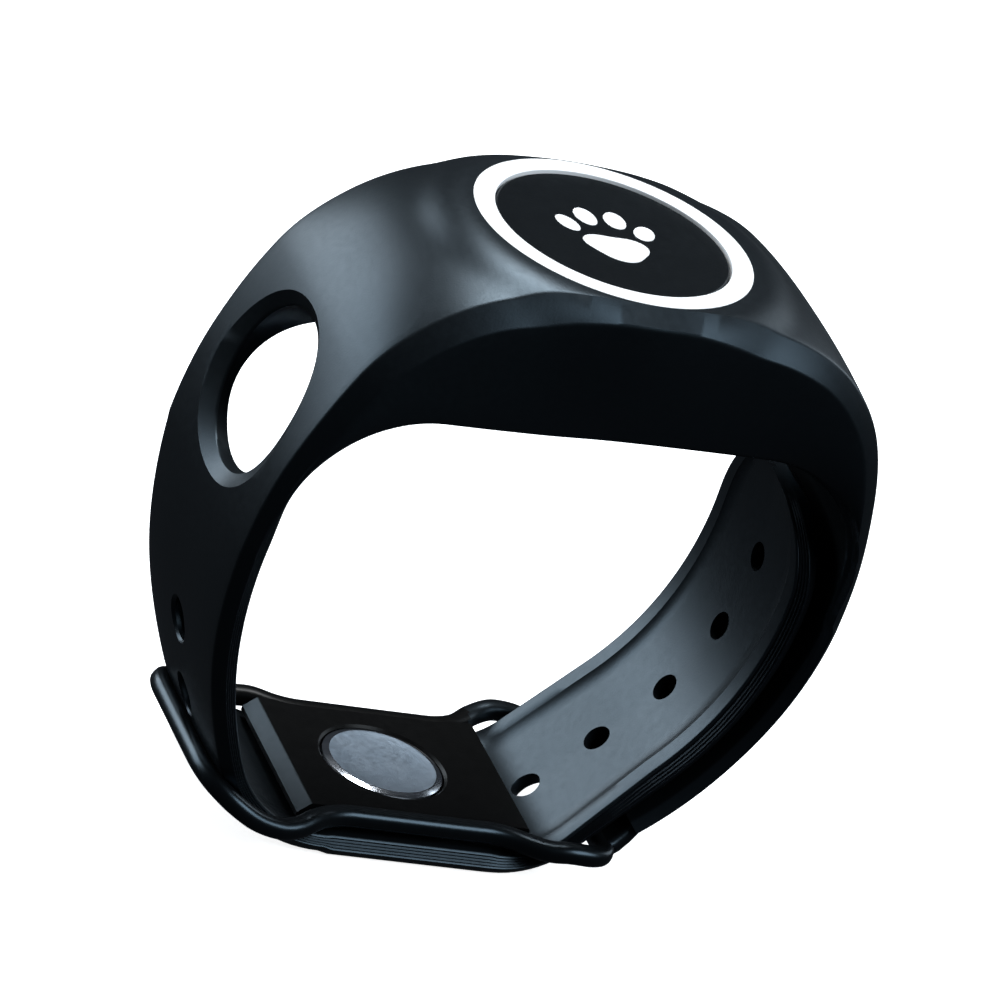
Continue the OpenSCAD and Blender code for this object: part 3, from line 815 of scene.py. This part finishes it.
def tongue_rings():
    """Tongue that rises from the clasp's right bar and tapers into the end of the short strap."""
    rings = []
    # (x, z) of the middle, half-thickness, half-width
    path = [((15.6, 4.35), 0.80, 10.9), ((16.6, 4.95), 0.80, 10.6), ((17.4, 5.75), 0.78, 10.3),
            ((18.15, 6.65), 0.72, 10.0), ((18.9, 7.65), 0.5, 9.7), ((19.6, 8.7), 0.42, 9.5),
            ((20.4, 10.0), 0.38, 9.3)]
    for i, ((x, z), half_t, half_y) in enumerate(path):
        ahead = path[min(i + 1, len(path) - 1)][0]
        behind = path[max(i - 1, 0)][0]
        run = Vector((ahead[0] - behind[0], ahead[1] - behind[1])).normalized()
        normal = Vector((-run.y, run.x))
        corners = [(0, half_t), (half_y, half_t), (half_y, -half_t), (0, -half_t)]
        half = round_corners(corners, [0, half_t * 0.9, half_t * 0.9, 0], 6)
        loop = half + [(-y, t) for y, t in reversed(half[1:-1])]
        rings.append([(x + normal.x * t, y, z + normal.y * t) for y, t in loop])
    return rings


tongue = add_object("clasp_tongue", *loft(tongue_rings()), PLATE, 35)
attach(tongue, "band")

# ---------------------------------------------------------------- stud, ring, button, mark

stud_base, stud_top = (corner.z for corner in node_box("stud_cap"))
stud_profile = [(0, stud_base), (5.8, stud_base), (5.8, stud_top - 0.3), (5.72, stud_top - 0.12),
                (5.2, stud_top + 0.06), (5.1, stud_top + 0.08), (4.9, stud_top + 0.05),
                (2.5, stud_top + 0.04), (0, stud_top + 0.04)]
disc = add_object("stud_disc", *lathe(stud_profile, 128), STEEL, 20)
disc.data.materials.append(POLISHED)
polished_from = 5.0
for face in disc.data.polygons:
    if Vector(face.center[:2]).length / MM > polished_from:
        face.material_index = 1
disc.data.transform(Matrix.Translation((STUD_X * MM, 0, 0)))
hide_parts("stud_cap")
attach(disc, "band")

ring_low, ring_high = node_box("ring_bezel")
ring_in = 11.0
ring_out = ring_high.x
soft = 0.12
ring_start = (12, ring_low.z)
ring_corners = [ring_start, (ring_out, ring_low.z), (ring_out, ring_high.z), (ring_in, ring_high.z),
                (ring_in, ring_low.z), ring_start]
ring_section = round_corners(ring_corners, [0, 0, soft, soft, 0, 0], 5)[:-1]
ring = add_object("ring_rounded", *ring_lathe(ring_section, 160), WHITE)
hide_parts("ring_bezel")
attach(ring, "band")

button_r = 10.9
flange_r = 11.35
dish = 0.6
dish_curve = 320


def dish_z(r):
    """Height of the button's dished face at radius r."""
    return BAND_H - dish + r * r / dish_curve


face_rim = dish_z(button_r)
button_profile = [(0, 53.5), (2.6, 53.5), (2.6, 57.7), (4.0, 57.7), (4.0, 58.4), (flange_r, 58.4),
                  (flange_r, 59.2), (button_r, 59.2), (button_r, face_rim - 0.22),
                  (button_r - 0.06, face_rim - 0.09), (button_r - 0.2, face_rim - 0.01)]
button_profile += [(r, dish_z(r)) for r in (10.4, 9.6, 8.4, 7.2, 6, 4.8, 3.6, 2.4, 1.2)] + [(0, dish_z(0))]
button = add_object("button_dished", *lathe(button_profile, 144), BUTTON)


def paw_shapes():
    """Outlines of a generic paw print: one soft three-lobed pad and four toes, as (x, y) loops."""
    shapes = []
    pad = []
    pad_r, pad_y = 2.75, -1.75
    for i in range(64):
        a = 2 * math.pi * i / 64
        r = pad_r + 0.32 * math.cos(3 * (a + math.pi / 2)) + 0.12 * math.cos(2 * a)
        pad.append((1.08 * r * math.cos(a), pad_y + 0.88 * r * math.sin(a)))
    shapes.append(pad)
    # centre x and y, half-width, half-length and lean of the outer and the inner toe
    toes = ((3.75, 1.75, 1.0, 1.4, 0.45), (1.45, 3.5, 1.08, 1.5, 0.12))
    for side in (-1, 1):
        for cx, cy, rx, ry, turn in toes:
            toe = []
            for i in range(40):
                a = 2 * math.pi * i / 40
                u, v = rx * math.cos(a), ry * math.sin(a)
                x = u * math.cos(turn) + v * math.sin(turn)
                y = -u * math.sin(turn) + v * math.cos(turn)
                toe.append((side * (cx + x), cy + y))
            shapes.append(toe if side > 0 else toe[::-1])
    return shapes


def inlay(name, outline, grow, low, high_at, mat, soft_edge):
    """Raised or cutting solid over an outline, whose top follows the dish."""
    centre = Vector((sum(p[0] for p in outline), sum(p[1] for p in outline))) / len(outline)

    def scaled(amount):
        ring = []
        for p in outline:
            away = Vector(p) - centre
            ring.append(centre + away * (1 + amount / away.length))
        return ring

    levels = [(grow, None, 0), (grow, 0, -soft_edge), (grow - soft_edge * 0.4, 0, -soft_edge * 0.3),
              (grow - soft_edge, 0, 0)]
    rings = []
    for amount, follow, drop in levels:
        ring = []
        for p in scaled(amount):
            z = low if follow is None else high_at(math.hypot(p.x, p.y)) + drop
            ring.append((p.x, p.y, z))
        rings.append(ring)
    for share in (0.75, 0.5, 0.25):
        ring = []
        for p in scaled(grow - soft_edge):
            q = centre + (p - centre) * share
            ring.append((q.x, q.y, high_at(math.hypot(q.x, q.y))))
        rings.append(ring)
    return add_object(name, *loft(rings), mat, 40)


paw_low = node_box("paw_mark")[0].z
cutters = [inlay(f"paw_cutter_{i}", shape, 0.03, paw_low, lambda r: BAND_H + 0.5, BUTTON, 0.0)
           for i, shape in enumerate(paw_shapes())]
cut(button, cutters, BUTTON)
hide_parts("button_cap")
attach(button, "button")

for i, shape in enumerate(paw_shapes()):
    name = "paw_pad" if i == 0 else f"paw_toe_{i}"
    part = inlay(name, shape, 0.0, paw_low + 0.02, lambda r: dish_z(r) + 0.03, MARK, 0.1)
    if i == 0:
        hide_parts("paw_mark")
    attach(part, "button")

# the CAD's own nodes that stay as they are
CAD_MATERIALS = {"stud_post": SCREW, "stud_washer": SPRING, "plunger_tip": NYLON,
                 "capsule_cover": CAPSULE, "capsule_base": CAPSULE, "cover_gasket": GASKET,
                 "click_leaf": SPRING, "leaf_root": SPRING, "leaf_block": BRASS, "leaf_rivets": BRASS,
                 "stop_pad": GASKET, "capsule_screws": SCREW}
for node, mat in CAD_MATERIALS.items():
    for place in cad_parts[node].material_slots:
        place.material = mat

# ---------------------------------------------------------------- stage, lights and camera

REACH = 1.5
floor_corners = [(-REACH, -REACH, 0), (REACH, -REACH, 0), (REACH, REACH, 0), (-REACH, REACH, 0)]
floor_mesh = bpy.data.meshes.new("floor")
floor_mesh.from_pydata(floor_corners, [], [(0, 1, 2, 3)])
floor = bpy.data.objects.new("floor", floor_mesh)
floor.location.z = -0.0001
bpy.context.scene.collection.objects.link(floor)
floor_paint = material("floor_pale", (0.90, 0.905, 0.91), 0.8, colour_to=(0.92, 0.925, 0.93),
                       tint_size=0.3, specular=0.1)
glow = floor_paint.node_tree.nodes["Principled BSDF"]
glow.inputs["Emission Color"].default_value = (1, 1, 1, 1)
glow.inputs["Emission Strength"].default_value = 0.86
floor_mesh.materials.append(floor_paint)
floor.visible_glossy = False
floor.visible_diffuse = False

MIDDLE = Vector((0, 0, 0.033))


def area_light(name, direction, distance, size, power, colour, size_y=None):
    """Rectangular light that faces the middle of the object from a direction; metres and watts."""
    data = bpy.data.lights.new(name, "AREA")
    data.shape = "RECTANGLE"
    data.size = size
    data.size_y = size_y or size
    data.energy = power
    data.color = colour
    lamp = bpy.data.objects.new(name, data)
    bpy.context.scene.collection.objects.link(lamp)
    away = Vector(direction).normalized()
    lamp.location = MIDDLE + away * distance
    lamp.rotation_mode = "QUATERNION"
    lamp.rotation_quaternion = away.to_track_quat("Z", "Y")


COOL = (0.82, 0.92, 1.0)
area_light("top_softbox", (-0.04, 0.35, 0.93), 0.5, 0.22, 2.75, (0.95, 0.98, 1.0))
area_light("back_left_softbox", (-0.60, 0.75, 0.28), 0.6, 0.45, 2.4, COOL, 0.3)
area_light("front_softbox", (0.42, -0.57, 0.70), 0.7, 0.42, 3.8, COOL)
area_light("back_right_softbox", (0.85, 0.35, 0.35), 0.7, 0.4, 1.0, COOL)

world = bpy.data.worlds.new("studio")
world.use_nodes = True
world.node_tree.nodes["Background"].inputs["Color"].default_value = (0.75, 0.85, 1.0, 1)
world.node_tree.nodes["Background"].inputs["Strength"].default_value = 0.03
bpy.context.scene.world = world
bpy.context.scene.view_settings.view_transform = "Standard"

camera_data = bpy.data.cameras.new("camera")
camera_data.sensor_width = 36
camera_data.lens = 292.8
camera_data.clip_start = 0.05
camera_data.clip_end = 10
camera = bpy.data.objects.new("camera", camera_data)
bpy.context.scene.collection.objects.link(camera)
AIM = Vector((-6.15, -9.11, 37.84)) * MM
DISTANCE = 0.7143
azimuth, elevation, roll = (math.radians(a) for a in (-27.39, 25.34, 20.29))
back = Vector((math.sin(azimuth) * math.cos(elevation), -math.cos(azimuth) * math.cos(elevation),
               math.sin(elevation)))
camera.location = AIM + back * DISTANCE
camera.rotation_mode = "QUATERNION"
upright = back.to_track_quat("Z", "Y")
camera.rotation_quaternion = upright @ Matrix.Rotation(roll, 3, "Z").to_quaternion()
bpy.context.scene.camera = camera
